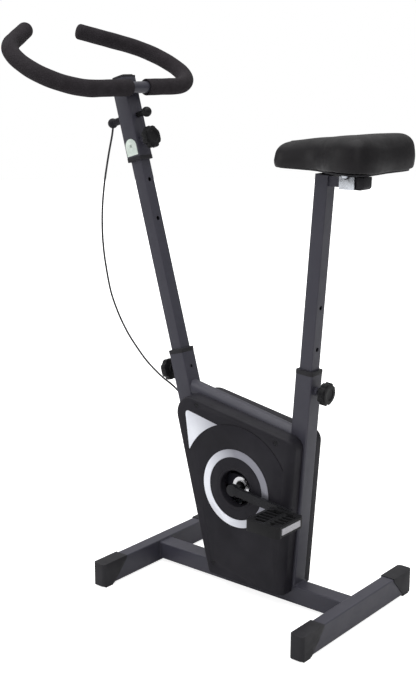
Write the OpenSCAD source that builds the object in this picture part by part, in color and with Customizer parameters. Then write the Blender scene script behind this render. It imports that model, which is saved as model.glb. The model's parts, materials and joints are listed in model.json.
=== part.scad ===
// Upright exercise bike with a magnetic flywheel brake. Millimetres, +X forward, +Y rider's left, +Z up.

/* [Frame] */
// Distance between the centre lines of the two stabilizer tubes
stabilizer_spacing = 527; // [500:1:580]
// Length of each stabilizer, end cap to end cap
stabilizer_length = 414; // [360:2:480]
// Side of the square base rail and of the outer tubes
outer_tube = 40; // [38:1:42]
// Side of the square posts that slide in the outer tubes
inner_tube = 30; // [28:1:31]
// Forward lean of the front tube, degrees
front_lean = 15.6; // [14:0.2:17]
// Rearward lean of the seat tube, degrees
seat_lean = 4.1; // [3:0.1:5]
// Height of the front tube's open end
front_tube_top = 504; // [495:1:530]
// Height of the seat tube's open end
seat_tube_top = 513; // [500:1:530]

/* [Adjustment] */
// Distance from one lock hole to the next
hole_pitch = 86; // [70:1:90]
// Lock holes beyond the one in use, on each post
lock_steps = 2; // [1:1:2]

/* [Handlebar] */
// Outside diameter of the handlebar tube
bar_diameter = 25.4; // [22:0.2:26]
// Outside diameter of the foam grips
grip_diameter = 36; // [32:1:40]
// Half width of the handlebar, to its centre line
bar_half_width = 229; // [200:1:250]
// Length of each inward end of the handlebar
bar_end_length = 112; // [80:1:120]
// Height of the handlebar's straight middle
bar_height = 1071; // [1060:1:1080]

/* [Saddle] */
// Saddle length, nose to back
saddle_length = 276; // [250:1:280]
// Saddle width at the back
saddle_width = 206; // [180:1:230]
// Height of the saddle pad's underside
saddle_base_height = 927; // [923:1:935]

/* [Drive] */
// Length of each crank arm, axis to axis
crank_length = 150; // [140:1:155]
// Height of the crank axis
crank_height = 247; // [243:1:252]
// Radius of the flywheel
flywheel_radius = 70; // [60:1:72]
// Radius of the belt pulley on the crank
drive_pulley_radius = 75; // [65:1:78]
// Radius of the belt pulley on the flywheel
flywheel_pulley_radius = 20; // [17:1:22]

/* [Covers] */
// Distance from the middle plane to a cover's outer face
cover_reach = 55; // [54:1:58]
// Wall of the covers
cover_wall = 2.4; // [2:0.2:3]
// Outer radius of the ring trim
ring_radius = 86; // [80:1:94]

/* [Hidden] */
$fn = 48;
eps = 0.02;
gap = 0.3;            // between parts that only lie side by side
run = 0.06;           // radial play of a running fit
tube_wall = 2;
stab_height = 50;
stab_width = 30;
foot = 4;             // the end caps lift the tubes this far
rail_top = foot + 6 + outer_tube;

crank_x = -36;
front_foot_x = 31.4;  // tube axes where they meet the rail's top
seat_foot_x = -146.6;
rear_x = -302.3;
front_x = rear_x + stabilizer_spacing;
ft = tan(front_lean);
st = tan(seat_lean);
function fx(z) = front_foot_x + ft * (z - rail_top);
function sx(z) = seat_foot_x - st * (z - rail_top);

lock_depth = 33;      // lock screw axis below a tube's open end, along the tube
knob_diameter = 48;
pin_radius = 4;
pin_travel = 7;
rim = 9;              // height of a bushing's rim
post_half = inner_tube / 2;
out_half = outer_tube / 2;
bore_half = out_half - tube_wall;
tube_corner = 3.5;
bore_corner = tube_corner - tube_wall / 2;

stem_bottom = 924;    // height of the stem's open lower end
stem_length = 171;
stem_start = (stem_bottom - rail_top) / cos(front_lean);
stem_end = stem_start + stem_length;
front_end = (front_tube_top - rail_top) / cos(front_lean);
seat_end = (seat_tube_top - rail_top) / cos(seat_lean);
front_post_end = stem_end - hole_pitch - 10;
front_post_start = front_end - 70;
seat_post_end = (saddle_base_height - 12 - rail_top) / cos(seat_lean);
seat_post_start = seat_end - 95;

bar_r = bar_diameter / 2;
grip_r = grip_diameter / 2;
bar_rise = 25.6;
bar_corner = 105;
bar_side = 6;
bar_bend_r = 128;
bar_bend = 55;
grip_start = 27;
bar_x = fx(bar_height) - out_half / cos(front_lean) - bar_r + 0.6;
bar_u = bar_corner + bar_side + bar_bend_r * sin(bar_bend) + bar_end_length * cos(bar_bend);
bar_dx = cos(bar_bend) * cos(bar_rise);
grip_nose = 6;
nose_x = bar_x + (bar_u + grip_nose * cos(bar_bend)) * cos(bar_rise) + grip_r * sqrt(1 - bar_dx * bar_dx);

saddle_nose_x = -87;
saddle_rear_x = saddle_nose_x - saddle_length;
centre_x = (nose_x + saddle_rear_x) / 2;

shell_r = 20;
shell_half = 33;
shaft_r = 8;
arm_in = 59.5;        // inner and outer faces of the left crank arm
arm_out = 69.5;
crank_drop = 6.9;     // the left arm hangs this far below level, degrees
pedal_inner = 76;
pedal_length = 88;
pedal_width = 82;
pedal_height = 24;
axle_r = 6;
fly_x = -58;
fly_z = 136;
fly_half = 16;
plate_in = 23;
plate_t = 8;
pulley_in = 38.5;
pulley_w = 11;
belt_t = 2.4;
pivot_x = 17;
pivot_z = 104;
arm_gap = 4;

paint = [0.33, 0.33, 0.38];
black = [0.16, 0.15, 0.17];
foam = [0.24, 0.22, 0.24];
steel = [0.75, 0.75, 0.78];
silver = [0.85, 0.86, 0.9];
zinc = [0.86, 0.88, 0.92];
vinyl = [0.19, 0.18, 0.19];

base_rail();
front_stabilizer();
rear_stabilizer();
front_left_cap();
front_right_cap();
rear_left_cap();
rear_right_cap();
front_tube();
seat_tube();
top_bar();
crank_bracket();
front_bushing();
seat_bushing();
front_post();
crank_cups();
flywheel_brackets();
flywheel_bearings();
drive_belt();
brake_bracket();
left_cover();
right_cover();
left_trim();
right_trim();
cover_screws();
cable_grommet();
tension_cable();
crank();
crank_cones();
bearing_balls();
drive_pulley();
pedal_axles();
left_pedal();
right_pedal();
left_reflectors();
right_reflectors();
flywheel();
flywheel_shaft();
flywheel_pulley();
brake_arm();
brake_magnets();
brake_spring();
stem_tube();
stem_bushing();
stem_cap();
handlebar();
left_grip();
right_grip();
tension_housing();
label_plate();
tension_knob();
stem_knob();
seat_knob();
front_knob();
seat_post();
arm_end_cap();
saddle_clamp();
clamp_bolt();
saddle_base();
saddle_pad();

// ---------- places ----------
module centred() { translate([-centre_x, 0, 0]) children(); }
module on_front() { translate([front_foot_x, 0, rail_top]) rotate([0, front_lean, 0]) children(); }
module on_seat() { translate([seat_foot_x, 0, rail_top]) rotate([0, -seat_lean, 0]) children(); }
module along_y(y0, y1, r) { translate([0, y0, 0]) rotate([-90, 0, 0]) cylinder(r = r, h = y1 - y0); }
module ring_y(y0, y1, r_out, r_in) {
  difference() {
    along_y(y0, y1, r_out);
    along_y(y0 - 1, y1 + 1, r_in);
  }
}

// ---------- profiles ----------
module rounded(w, d, r) {
  square([w - 2 * r, d], center = true);
  square([w, d - 2 * r], center = true);
  for (i = [-1, 1], j = [-1, 1]) translate([i * (w / 2 - r), j * (d / 2 - r)]) circle(r);
}
module square_tube(side, wall, z0, z1, r) {
  translate([0, 0, z0]) difference() {
    linear_extrude(z1 - z0) rounded(side, side, r);
    translate([0, 0, -1]) linear_extrude(z1 - z0 + 2)
      rounded(side - 2 * wall, side - 2 * wall, r - wall / 2);
  }
}
// a hole across a post or tube, along its local X, from x0 to x1
module cross_hole(z, r, x0, x1) { translate([x0, 0, z]) rotate([0, 90, 0]) cylinder(r = r, h = x1 - x0); }
module below(z) { translate([-700, -300, z - 200]) cube([1400, 600, 200]); }

// ---------- base ----------
module base_rail() color(paint) centred() {
  x0 = rear_x + stab_width / 2;
  x1 = front_x - stab_width / 2;
  translate([0, 0, rail_top - out_half]) rotate([0, 90, 0])
    square_tube(outer_tube, tube_wall, x0, x1, tube_corner);
}
module stabilizer(x) {
  half = stabilizer_length / 2 - 4;
  difference() {
    translate([x, half, foot + stab_height / 2]) rotate([90, 0, 0])
      linear_extrude(2 * half) rounded(stab_width, stab_height, 3);
    translate([x, half + 1, foot + stab_height / 2]) rotate([90, 0, 0])
      linear_extrude(2 * half + 2) rounded(stab_width - 2 * tube_wall, stab_height - 2 * tube_wall, 2);
  }
}
module front_stabilizer() color(paint) centred() stabilizer(front_x);
module rear_stabilizer() color(paint) centred() stabilizer(rear_x);

// an end cap whose inner edge slopes from a long top to a short foot
module end_cap(x, side) {
  tip = stabilizer_length / 2;
  w = stab_width + 3;
  translate([x, 0, 0]) mirror([0, side < 0 ? 1 : 0, 0]) difference() {
    union() {
      translate([-w / 2, tip - 74, foot]) cube([w, 74 - 8, stab_height + 1.5]);
      translate([-w / 2 + 8, tip - 20, foot]) cube([w - 16, 20, stab_height + 1.5]);
      for (i = [-1, 1]) translate([i * (w / 2 - 8), tip - 8, foot]) cylinder(r = 8, h = stab_height + 1.5);
      translate([-w / 2 + 2, tip - 31, 0]) cube([w - 4, 23, foot + 1]);
    }
    translate([0, tip - 4 + 0.05, foot + stab_height / 2]) rotate([90, 0, 0])
      linear_extrude(90) rounded(stab_width + 0.1, stab_height + 0.1, 3);
    translate([-w, tip - 32, foot - eps]) rotate([43, 0, 0]) translate([0, -90, 0]) cube([2 * w, 90, 130]);
  }
}
module front_left_cap() color(black) centred() end_cap(front_x, 1);
module front_right_cap() color(black) centred() end_cap(front_x, -1);
module rear_left_cap() color(black) centred() end_cap(rear_x, 1);
module rear_right_cap() color(black) centred() end_cap(rear_x, -1);

// ---------- frame ----------
bar_axis_z = 405;     // top bar's axis height over crank_x + 35
bar_fall = 11.2;
function top_z(x) = bar_axis_z + tan(bar_fall) * (x + 1);
module top_cylinder(r, grow) {
  translate([-1, 0, bar_axis_z]) rotate([0, 90 - bar_fall, 0])
    translate([0, 0, -200]) cylinder(r = r, h = 400 + grow);
}
stud_places = [[71, top_z(71) - 8.5], [-138, top_z(-138) - 8.5], [24, 62]];
module front_tube() color(paint) centred() {
  difference() {
    union() {
      on_front() square_tube(outer_tube, tube_wall, -30, front_end, tube_corner);
      on_front() cross_hole(front_end - lock_depth, 9, out_half - 0.5, out_half + 7);
      translate([stud_places[2][0], 0, stud_places[2][1]]) along_y(-cover_reach + 10, cover_reach - 10, 6);
    }
    below(rail_top);
    on_front() cross_hole(front_end - lock_depth, pin_radius + run, -out_half - 1, out_half + 9);
    on_front() cross_hole(cable_in, 7, 0, out_half + 1);
    on_front() cross_hole(cable_out, 4.5, -out_half - 1, 0);
    translate([stud_places[2][0], 0, stud_places[2][1]]) along_y(-60, 60, 2.1);
  }
}
cable_in = 371.4;     // along the front tube
cable_out = 164.5;
cable_slope = 40;     // of the cable where it enters, from the tube's axis
module seat_tube() color(paint) centred() {
  difference() {
    union() {
      on_seat() square_tube(outer_tube, tube_wall, -30, seat_end, tube_corner);
      on_seat() cross_hole(seat_end - lock_depth, 9, -out_half - 7, -out_half + 0.5);
    }
    below(rail_top);
    on_seat() cross_hole(seat_end - lock_depth, pin_radius + run, -out_half - 9, 0);
  }
}
module top_bar() color(paint) centred() {
  difference() {
    union() {
      top_cylinder(19, 0);
      for (i = [0, 1]) translate([stud_places[i][0], 0, stud_places[i][1]])
        along_y(-cover_reach + 10, cover_reach - 10, 6);
    }
    difference() {
      top_cylinder(17, 0);
      for (i = [0, 1]) translate([stud_places[i][0], 0, stud_places[i][1]]) along_y(-30, 30, 6);
    }
    for (i = [0, 1]) translate([stud_places[i][0], 0, stud_places[i][1]]) along_y(-60, 60, 2.1);
    on_front() translate([-out_half - eps, -100, -100]) cube([300, 200, 700]);
    on_seat() translate([out_half - 300 + eps, -100, -100]) cube([300, 200, 700]);
  }
}
module crank_bracket() color(paint) centred() {
  difference() {
    union() {
      translate([-200, -15, crank_height - 15]) cube([400, 30, 30]);
      translate([crank_x, 0, crank_height]) along_y(-shell_half, shell_half, shell_r);
    }
    translate([crank_x, 0, crank_height]) along_y(-60, 60, 16.5);
    difference() {
      translate([-200, -13, crank_height - 13]) cube([400, 26, 26]);
      translate([crank_x, 0, crank_height]) along_y(-60, 60, shell_r);
    }
    on_front() translate([-out_half - eps, -100, -100]) cube([300, 200, 700]);
    on_seat() translate([out_half - 300 + eps, -100, -100]) cube([300, 200, 700]);
  }
}
// sleeve with a rim, local Z along the tube; up = 1 has the rim above z, -1 below
module bushing(z, up, depth) {
  difference() {
    union() {
      translate([0, 0, up > 0 ? z + eps : z - rim - eps])
        linear_extrude(rim) rounded(outer_tube + 1, outer_tube + 1, 4);
      translate([0, 0, up > 0 ? z - depth : z - 1])
        linear_extrude(depth + 1) rounded(2 * bore_half - 0.1, 2 * bore_half - 0.1, bore_corner + 0.1);
    }
    translate([0, 0, z - 100]) linear_extrude(200) rounded(inner_tube + 0.1, inner_tube + 0.1, 2.5);
    cross_hole(z - up * lock_depth, pin_radius + 0.5, -40, 40);
  }
}
module front_bushing() color(black) centred() on_front() bushing(front_end, 1, 45);
module seat_bushing() color(black) centred() on_seat() bushing(seat_end, 1, 45);
module front_post() color(paint) centred() on_front() {
  difference() {
    square_tube(inner_tube, tube_wall, front_post_start, front_post_end, 2.5);
    for (i = [0 : lock_steps])
      cross_hole(stem_start + lock_depth - i * hole_pitch, pin_radius + 0.8, -30, 0);
    cross_hole(front_end - lock_depth, pin_radius + 0.8, 0, 30);
    // lets the tension screw pass when the stem goes down one step
    translate([-30, -3.6, tension_z - hole_pitch - 4.5]) cube([60, 7.2, 200]);
  }
}

// ---------- bottom bracket ----------
module crank_cups() color(steel) centred() translate([crank_x, 0, crank_height]) {
  for (s = [0, 1]) mirror([0, s, 0]) difference() {
    union() {
      along_y(shell_half + eps, shell_half + 3, 21);
      along_y(shell_half - 9, shell_half + 1, 16.5 - eps);
    }
    along_y(shell_half - 5, shell_half + 4, 14.2);
    along_y(shell_half - 10, shell_half, 12);
  }
}
module crank_cones() color(steel) centred() translate([crank_x, 0, crank_height]) {
  for (s = [0, 1]) mirror([0, s, 0]) {
    ring_y(shell_half - 7, shell_half + 0.5, 9.6, shaft_r + eps);
    ring_y(shell_half + 0.5, shell_half + 4.5, 13.5, shaft_r + eps);
  }
}
module bearing_balls() color(steel) centred() translate([crank_x, 0, crank_height]) {
  for (s = [-1, 1], a = [0 : 40 : 320])
    rotate([0, a, 0]) translate([11.9, s * (shell_half - 2.4), 0]) sphere(2.1);
}

// ---------- flywheel ----------
module flywheel_brackets() color(paint) centred() {
  for (s = [0, 1]) mirror([0, s, 0]) difference() {
    union() {
      translate([fly_x, plate_in, fly_z]) rotate([-90, 0, 0]) cylinder(r = 21, h = plate_t);
      translate([fly_x - 21, plate_in, rail_top - 10]) cube([42, plate_t, fly_z - rail_top + 10]);
      translate([fly_x - 21, out_half + eps, rail_top - 10]) cube([42, plate_in - out_half + 1, 9]);
    }
    translate([fly_x, 0, fly_z]) along_y(0, 60, 16);
  }
}
module flywheel_bearings() color(steel) centred() translate([fly_x, 0, fly_z]) {
  for (s = [0, 1]) mirror([0, s, 0]) ring_y(plate_in, plate_in + plate_t, 16 - eps, axle_r + run);
}
module flywheel() color(steel) centred() translate([fly_x, 0, fly_z]) {
  difference() {
    along_y(-fly_half, fly_half, flywheel_radius);
    for (s = [0, 1]) mirror([0, s, 0]) difference() {
      along_y(fly_half - 6, fly_half + 1, flywheel_radius - 12);
      along_y(0, fly_half + 2, 20);
    }
    along_y(-30, 30, axle_r + eps);
  }
}
module flywheel_shaft() color(steel) centred() translate([fly_x, 0, fly_z]) {
  along_y(-pulley_in - pulley_w - 1.5, plate_in + plate_t + 5, axle_r);
  ring_y(fly_half + gap, plate_in - gap, 9, axle_r - 1);
  ring_y(-plate_in + gap, -fly_half - gap, 9, axle_r - 1);
  translate([0, plate_in + plate_t + gap, 0]) rotate([-90, 0, 0]) cylinder(r = 10, h = 4, $fn = 6);
}
module pulley(r) {
  difference() {
    union() {
      along_y(-pulley_in - pulley_w, -pulley_in, r);
      for (y = [-pulley_in, -pulley_in - pulley_w + 1]) along_y(y - 1, y, r + belt_t + 0.6);
    }
    children();
  }
}
module flywheel_pulley() color(black) centred() translate([fly_x, 0, fly_z])
  pulley(flywheel_pulley_radius) along_y(-80, 0, axle_r + eps);
module drive_pulley() color(black) centred() translate([crank_x, 0, crank_height])
  pulley(drive_pulley_radius) {
    along_y(-80, 0, shaft_r + eps);
    for (a = [0 : 60 : 300]) rotate([0, a, 0]) translate([44, 0, 0]) along_y(-80, 0, 15);
  }
module belt_outline(grow) {
  hull() {
    translate([crank_x, crank_height]) circle(drive_pulley_radius + grow, $fn = 96);
    translate([fly_x, fly_z]) circle(flywheel_pulley_radius + grow, $fn = 48);
  }
}
module drive_belt() color(black) centred()
  translate([0, -pulley_in - 1.4, 0]) rotate([90, 0, 0]) linear_extrude(pulley_w - 2.8) difference() {
    belt_outline(belt_t);
    belt_outline(0.25);
  }

// ---------- magnetic brake ----------
module brake_bracket() color(paint) centred() {
  difference() {
    for (s = [0, 1]) mirror([0, s, 0]) difference() {
      union() {
        translate([pivot_x, 10, pivot_z]) rotate([-90, 0, 0]) cylinder(r = 7, h = 4);
        translate([pivot_x, 10, pivot_z - 7]) cube([30, 4, 14]);
      }
      translate([pivot_x, 0, pivot_z]) along_y(0, 30, 3 + eps);
    }
    on_front() translate([-out_half - eps, -100, -100]) cube([300, 200, 700]);
  }
  translate([pivot_x, 0, pivot_z]) {
    along_y(-16, 16, 3);
    for (s = [0, 1]) mirror([0, s, 0]) along_y(14 + eps, 16, 5);
  }
}
module brake_arm() color(zinc) centred() {
  difference() {
    union() {
      translate([fly_x, 8, fly_z]) rotate([90, 0, 0]) rotate([0, 0, -26]) rotate_extrude(angle = 88)
        translate([flywheel_radius + arm_gap + 6, 0]) square([5, 16]);
      translate([pivot_x, 0, pivot_z]) along_y(-7, 7, 6.6);
      translate([fly_x, 4, fly_z]) rotate([90, 0, 0]) rotate([0, 0, 42])
        linear_extrude(8) translate([flywheel_radius + arm_gap + 8, -6]) square([15, 12]);
    }
    translate([pivot_x, 0, pivot_z]) along_y(-20, 20, 3 + run);
  }
}
module brake_magnets() color(steel) centred() {
  for (a = [-2 : 14 : 54]) translate([fly_x, 7, fly_z]) rotate([90, 0, 0]) rotate([0, 0, a])
    linear_extrude(14) translate([flywheel_radius + arm_gap, -7]) square([5.4, 14]);
}
module brake_spring() color(steel) centred() translate([pivot_x, 0, pivot_z]) {
  for (y = [8.4 : 0.9 : 9.3]) ring_y(y, y + 0.7, 5, 3.4);
}

// ---------- covers ----------
// corners of the side outline at the parting line, from the front bottom
cover_bottom = 36;
cover_edge = 14;      // cover edge beyond the tube axis
cover_ft = ft - 0.02;  // the cover's front edge leans a little more than the tube
top_level = 410.8;
top_slope = 0.175;
function edge_front(z, in) = front_foot_x + cover_edge + cover_ft * (z - rail_top) - in;
function edge_rear(z, in) = sx(z) - cover_edge + in;
function top_line(x, in) = top_level + top_slope * x - in;
// in is the inset of the front edge; the top and rear edges and the bottom move by other shares of it
inset_top = 0.4;
inset_rear = 1.6;
module cover_outline(in, wall, r_front, r_rear) {
  e = in + wall;
  et = in * inset_top + wall;
  er = in * inset_rear + wall;
  z = cover_bottom + in / 7 + wall;
  // where the top line crosses the two side lines
  xb = (front_foot_x + cover_edge - e + cover_ft * (top_level - et - rail_top)) / (1 - top_slope * cover_ft);
  xc = (seat_foot_x - cover_edge + er - st * (top_level - et - rail_top)) / (1 + top_slope * st);
  corners = [[edge_front(z, e), z], [xb, top_line(xb, et)], [xc, top_line(xc, et)], [edge_rear(z, er), z]];
  polygon(concat([corners[0]], bend(corners, 1, r_front), bend(corners, 2, r_rear), [corners[3]]));
}
// an outline corner replaced by an arc of radius r
function unit(v) = v / norm(v);
function bend(c, i, r) = let (
    a = unit(c[i - 1] - c[i]), b = unit(c[i + 1] - c[i]),
    half = acos(a * b) / 2, m = c[i] + unit(a + b) * r / sin(half),
    p = atan2((c[i] + a * r / tan(half) - m)[1], (c[i] + a * r / tan(half) - m)[0]),
    q = atan2((c[i] + b * r / tan(half) - m)[1], (c[i] + b * r / tan(half) - m)[0]),
    turn = (q - p + 540) % 360 - 180)
  [for (k = [0 : 6]) m + r * [cos(p + turn * k / 6), sin(p + turn * k / 6)]];
cover_in = out_half + gap;
module slab(y0, y1, in, r_front, r_rear, wall = 0) {
  translate([0, y1, 0]) rotate([90, 0, 0]) linear_extrude(y1 - y0) cover_outline(in, wall, r_front, r_rear);
}
module cover_solid() {
  mid = cover_reach - 12;
  slab(cover_in, mid, 0, 42, 24);
  slab(mid - 1, mid + 5, 2.2, 40, 22);
  slab(mid + 4, mid + 9, 5.6, 37, 19);
  slab(mid + 8, cover_reach, 11, 32, 15);
}
module cover_shell(collar) {
  w = cover_wall;
  difference() {
    cover_solid();
    slab(cover_in - 1, cover_reach - 12 - w, 0, 40, 22, w);
    slab(cover_reach - 14 - w, cover_reach - 7 - w, 4, 37, 19, w);
    slab(cover_reach - 9 - w, cover_reach - w, 11, 30, 13, w);
    translate([crank_x, 0, crank_height]) along_y(0, 80, 40);
    top_cylinder(19 + gap, 0);
    for (p = stud_places) translate([p[0], 0, p[1]]) along_y(0, 80, 2.6);
    for (p = stud_places) translate([p[0], 0, p[1]]) along_y(cover_reach - 1.6, 80, 5.5);
    translate([crank_x, 0, crank_height])
      ring_y(cover_reach - 1, cover_reach + 1, ring_radius + 0.1, ring_radius - 17.1);
    translate([0, cover_reach + 0.2, 0]) rotate([90, 0, 0]) linear_extrude(1.2) badge_outline(0.1);
  }
  translate([crank_x, 0, crank_height]) ring_y(cover_reach - collar, cover_reach - w + 0.2, 42.4, 40);
}
module left_cover() color(black) centred() cover_shell(18);
module right_cover() color(black) centred() mirror([0, 1, 0]) cover_shell(4);
// three-sided badge with one side hollowed by a circle about the crank
disc_radius = 140.5;
module badge_outline(grow) {
  difference() {
    polygon([[101 + grow, 386], [100.4 + grow, 391.5], [97.5 + grow, 394.8 + grow], [93, 395.4 + grow],
             [5 - grow, 376.6 + grow], [5 - grow, 372], [88, 308 - grow], [91 + grow, 311]]);
    translate([crank_x, crank_height]) circle(disc_radius - grow, $fn = 96);
  }
}
module trim() {
  translate([crank_x, 0, crank_height])
    ring_y(cover_reach - 1 + eps, cover_reach + 0.4, ring_radius, ring_radius - 17);
  translate([0, cover_reach + 0.4, 0]) rotate([90, 0, 0]) linear_extrude(1.4 - eps) badge_outline(0);
}
module left_trim() color(silver) centred() trim();
module right_trim() color(silver) centred() mirror([0, 1, 0]) trim();
module cover_screws() color(black) centred() {
  for (s = [0, 1], p = stud_places) mirror([0, s, 0]) translate([p[0], 0, p[1]]) {
    along_y(cover_reach - 24, cover_reach - 1.5, 2);
    difference() {
      along_y(cover_reach - 1.6 + eps, cover_reach - 0.1, 4.4);
      translate([-0.5, cover_reach - 0.8, -3]) cube([1, 2, 6]);
      translate([-3, cover_reach - 0.8, -0.5]) cube([6, 2, 1]);
    }
  }
}

// ---------- cable ----------
cable_r = 2.2;
cable_route = [[353, 988], [357, 966], [367, 930], [377, 889], [385, 850], [391, 806], [393, 762],
  [391, 718], [384, 672], [370, 614], [348, 567], [322, 528], [293, 496], [260, 466], [220, 440],
  [188, 425], [166, 412], [150, 402], [136, 389], [126, 364], [112, 316], [98, 264], [87, 236], [72, 221],
  [56, 213], [42, 207], [31, 204]];
// a point at t on the curve through the route's points
function route_at(i, t) = let (
    n = len(cable_route) - 1,
    a = cable_route[max(i - 1, 0)], b = cable_route[i],
    c = cable_route[min(i + 1, n)], d = cable_route[min(i + 2, n)])
  0.5 * ((2 * b) + (c - a) * t + (2 * a - 5 * b + 4 * c - d) * t * t + (3 * b - a - 3 * c + d) * t * t * t);
route_points = concat([for (i = [0 : len(cable_route) - 2], k = [0 : 1]) route_at(i, k / 2)],
  [cable_route[len(cable_route) - 1]]);
function route_normal(i) = let (
    n = len(route_points) - 1, d = unit(route_points[min(i + 1, n)] - route_points[max(i - 1, 0)]))
  [-d[1], d[0]];
module tension_cable() color(black) centred() {
  sides = 10;
  n = len(route_points);
  points = [for (i = [0 : n - 1], k = [0 : sides - 1])
    let (m = route_normal(i), c = cable_r * cos(k * 360 / sides))
    [route_points[i][0] + c * m[0], cable_r * sin(k * 360 / sides), route_points[i][1] + c * m[1]]];
  faces = concat([[for (k = [0 : sides - 1]) k]], [[for (k = [sides - 1 : -1 : 0]) (n - 1) * sides + k]],
    [for (i = [0 : n - 2], k = [0 : sides - 1])
      [i * sides + k, (i + 1) * sides + k, (i + 1) * sides + (k + 1) % sides, i * sides + (k + 1) % sides]]);
  polyhedron(points, faces);
}
module cable_grommet() color(black) centred() on_front() difference() {
  union() {
    cross_hole(cable_in, 9.5, out_half + eps, out_half + 1.5);
    cross_hole(cable_in, 7 - eps, out_half - tube_wall, out_half + 0.5);
  }
  translate([out_half, 0, cable_in]) rotate([0, cable_slope, 0])
    translate([0, 0, -15]) cylinder(r = cable_r + 0.4, h = 30);
}

// ---------- crank and pedals ----------
module crank() color(black) centred() translate([crank_x, 0, crank_height]) {
  along_y(-arm_in - 1, arm_in + 1, shaft_r);
  for (s = [0, 1]) mirror([0, s, 0]) rotate([0, s > 0 ? 180 - crank_drop : -crank_drop, 0]) difference() {
    union() {
      along_y(arm_in, arm_out, 13);
      translate([-crank_length, 0, 0]) along_y(arm_in, arm_out, 11);
      translate([-crank_length, arm_in + 0.5, -9]) cube([crank_length, arm_out - arm_in - 1, 18]);
    }
    translate([-crank_length, 0, 0]) along_y(0, 100, axle_r + eps);
  }
}
module at_pedal(s) {
  mirror([0, s > 0 ? 0 : 1, 0])
    translate([crank_x, 0, crank_height])
      translate([-s * crank_length * cos(crank_drop), 0, -s * crank_length * sin(crank_drop)]) children();
}
module pedal_axles() color(steel) centred() for (s = [-1, 1]) at_pedal(s) {
  along_y(arm_in - 2, pedal_inner + pedal_length - 8, axle_r);
  along_y(arm_out + eps, arm_out + 3, 8.5);
}
module pedal_body(s) at_pedal(s) {
  y0 = pedal_inner;
  y1 = pedal_inner + pedal_length;
  w = pedal_width / 2;
  h = pedal_height / 2;
  difference() {
    union() {
      along_y(y0, y1, 10);
      for (y = [y0, y1 - 9]) translate([-w + 7, y, -h]) cube([pedal_width - 14, 9, pedal_height]);
      for (i = [-1, 1]) translate([i * (w - 3.5) - 3.5, y0 + 6, -h + 1])
        cube([7, pedal_length - 12, pedal_height - 2]);
      for (i = [-1, 1], y = [y0 + 9, y1 - 9])
        translate([i * (w - 9), y, -h]) cylinder(r = 9, h = pedal_height);
      for (y = [y0 + 22 : 13 : y1 - 20]) translate([-w + 5, y, -h + 2])
        cube([pedal_width - 10, 4, pedal_height - 4]);
    }
    along_y(y0 - 1, y1 - 5, axle_r + run);
    for (i = [-1, 1]) translate([i * (w - 1.5) - 2, y0 + 12.5, -7]) cube([4, pedal_length - 25, 14]);
  }
}
module left_pedal() color(black) centred() pedal_body(1);
module right_pedal() color(black) centred() pedal_body(-1);
module reflectors(s) at_pedal(s) {
  for (i = [-1, 1])
    translate([i * (pedal_width / 2 - 1.5) - (i > 0 ? 2 : 2.5) + eps, pedal_inner + 13, -6.5])
      cube([4.5 - 2 * eps, pedal_length - 26, 13]);
}
module left_reflectors() color(silver) centred() reflectors(1);
module right_reflectors() color(silver) centred() reflectors(-1);

// ---------- stem and handlebar ----------
module stem_tube() color(paint) centred() {
  difference() {
    on_front() {
      square_tube(outer_tube, tube_wall, stem_start, stem_end, tube_corner);
      cross_hole(stem_start + lock_depth, 9, -out_half - 7, -out_half + 0.5);
    }
    on_front() cross_hole(stem_start + lock_depth, pin_radius + run, -out_half - 9, 0);
    on_front() cross_hole(tension_z, 3.5, -40, 40);
    bar_frame() for (s = [0, 1]) mirror([0, s, 0]) along_y(-eps, 60, bar_r + eps);
  }
}
tension_z = stem_start + 87;
ball_out = 37;        // from the tube's face to the ball that ends the housing
module stem_bushing() color(black) centred() on_front() bushing(stem_start, -1, 25);
module stem_cap() color(black) centred() on_front() {
  difference() {
    union() {
      translate([0, 0, stem_end + eps]) linear_extrude(3) rounded(outer_tube + 1, outer_tube + 1, 4);
      translate([0, 0, stem_end + 2.5]) linear_extrude(3) rounded(outer_tube - 5, outer_tube - 5, 6);
      translate([0, 0, stem_end - 7]) linear_extrude(8)
        rounded(2 * bore_half - 0.1, 2 * bore_half - 0.1, bore_corner + 0.1);
    }
    translate([0, 0, stem_end - 8]) linear_extrude(7) rounded(2 * bore_half - 5, 2 * bore_half - 5, 1);
  }
}
module bar_frame() { translate([bar_x, 0, bar_height]) rotate([0, -bar_rise, 0]) children(); }
// one side of the handlebar's path as a solid of radius r, beginning at y = start
module bar_path(r, start, nose) {
  v1 = bar_half_width - bar_corner;
  along_y(start, v1, r);
  translate([bar_corner, v1, 0]) rotate([0, 0, 90])
    rotate_extrude(angle = 90) translate([bar_corner, 0]) circle(r);
  translate([bar_corner, bar_half_width, 0]) rotate([0, 90, 0]) cylinder(r = r, h = bar_side);
  translate([bar_corner + bar_side, bar_half_width - bar_bend_r, 0]) {
    rotate([0, 0, 90 - bar_bend]) rotate_extrude(angle = bar_bend) translate([bar_bend_r, 0]) circle(r);
    rotate([0, 0, 90 - bar_bend]) translate([bar_bend_r, 0, 0])
      rotate([90, 0, 0]) cylinder(r = r, h = bar_end_length + nose);
  }
}
module handlebar() color(paint) centred() bar_frame() {
  for (s = [0, 1]) mirror([0, s, 0]) difference() {
    bar_path(bar_r, 0, 0);
    bar_path(bar_r - 1.5, -1, 1);
  }
}
module grip(s) bar_frame() mirror([0, s, 0]) difference() {
  bar_path(grip_r, grip_start, grip_nose);
  bar_path(bar_r + 0.15, grip_start - 1, 0.3);
}
module left_grip() color(foam) centred() grip(0);
module right_grip() color(foam) centred() grip(1);

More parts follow.
